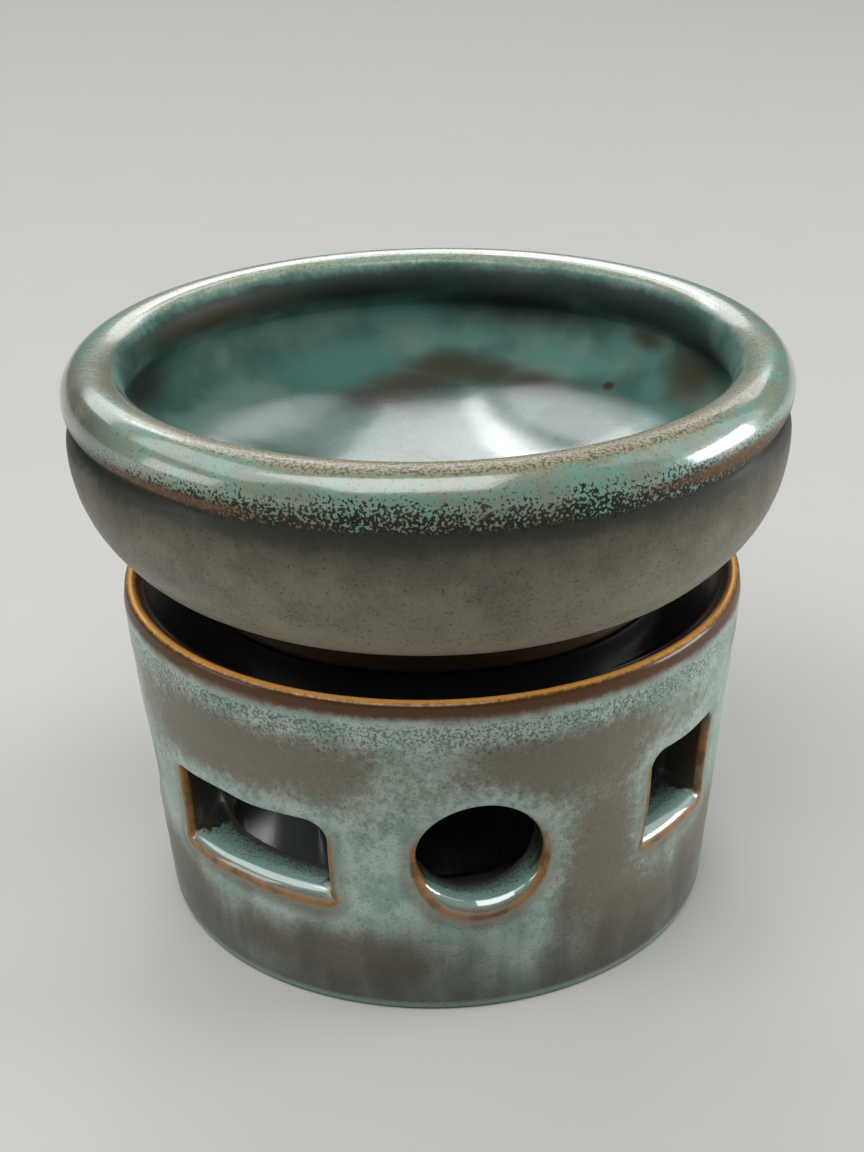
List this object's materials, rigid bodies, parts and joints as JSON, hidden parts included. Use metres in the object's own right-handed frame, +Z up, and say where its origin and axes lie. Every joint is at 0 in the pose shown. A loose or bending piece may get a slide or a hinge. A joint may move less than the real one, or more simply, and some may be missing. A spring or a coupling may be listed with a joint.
{
  "type": "essential oil burner",
  "caption": "Two-piece glazed stoneware oil burner: a shallow bowl with a rolled lip rests on a flared, windowed stand that holds a tealight.",
  "frame": {"origin": "middle of the stand's flat base, on the surface it stands on", "axes": "+Z up along the turning axis, -Y out of the front round window, +X to its right"},
  "size_m": [0.1038, 0.1038, 0.0852],
  "materials": {
    "stand_glaze": "glossy celadon and grey-brown reactive glaze, amber on edges, black inside",
    "bowl_glaze": "glossy turquoise and grey-brown reactive glaze with dark speckle",
    "cup_aluminium": "pressed, dull",
    "candle_wax": "translucent paraffin wax",
    "wick_cotton": "braided waxed cotton",
    "sustainer_steel": "tinned, pressed"
  },
  "bodies": {
    "stand": {"stand": "stand_glaze"},
    "bowl": {"bowl": "bowl_glaze"},
    "tealight": {"tealight_cup": "cup_aluminium", "tealight_wax": "candle_wax", "tealight_wick": "wick_cotton", "wick_sustainer": "sustainer_steel"}
  },
  "joints": [
    {"name": "bowl_lift", "type": "slide", "parent": "stand", "child": "bowl", "axis": [0, 0, 1], "range_m": [0, 0.06]},
    {"name": "tealight_lift", "type": "slide", "parent": "stand", "child": "tealight", "axis": [0, 0, 1], "range_m": [0, 0.028]}
  ]
}
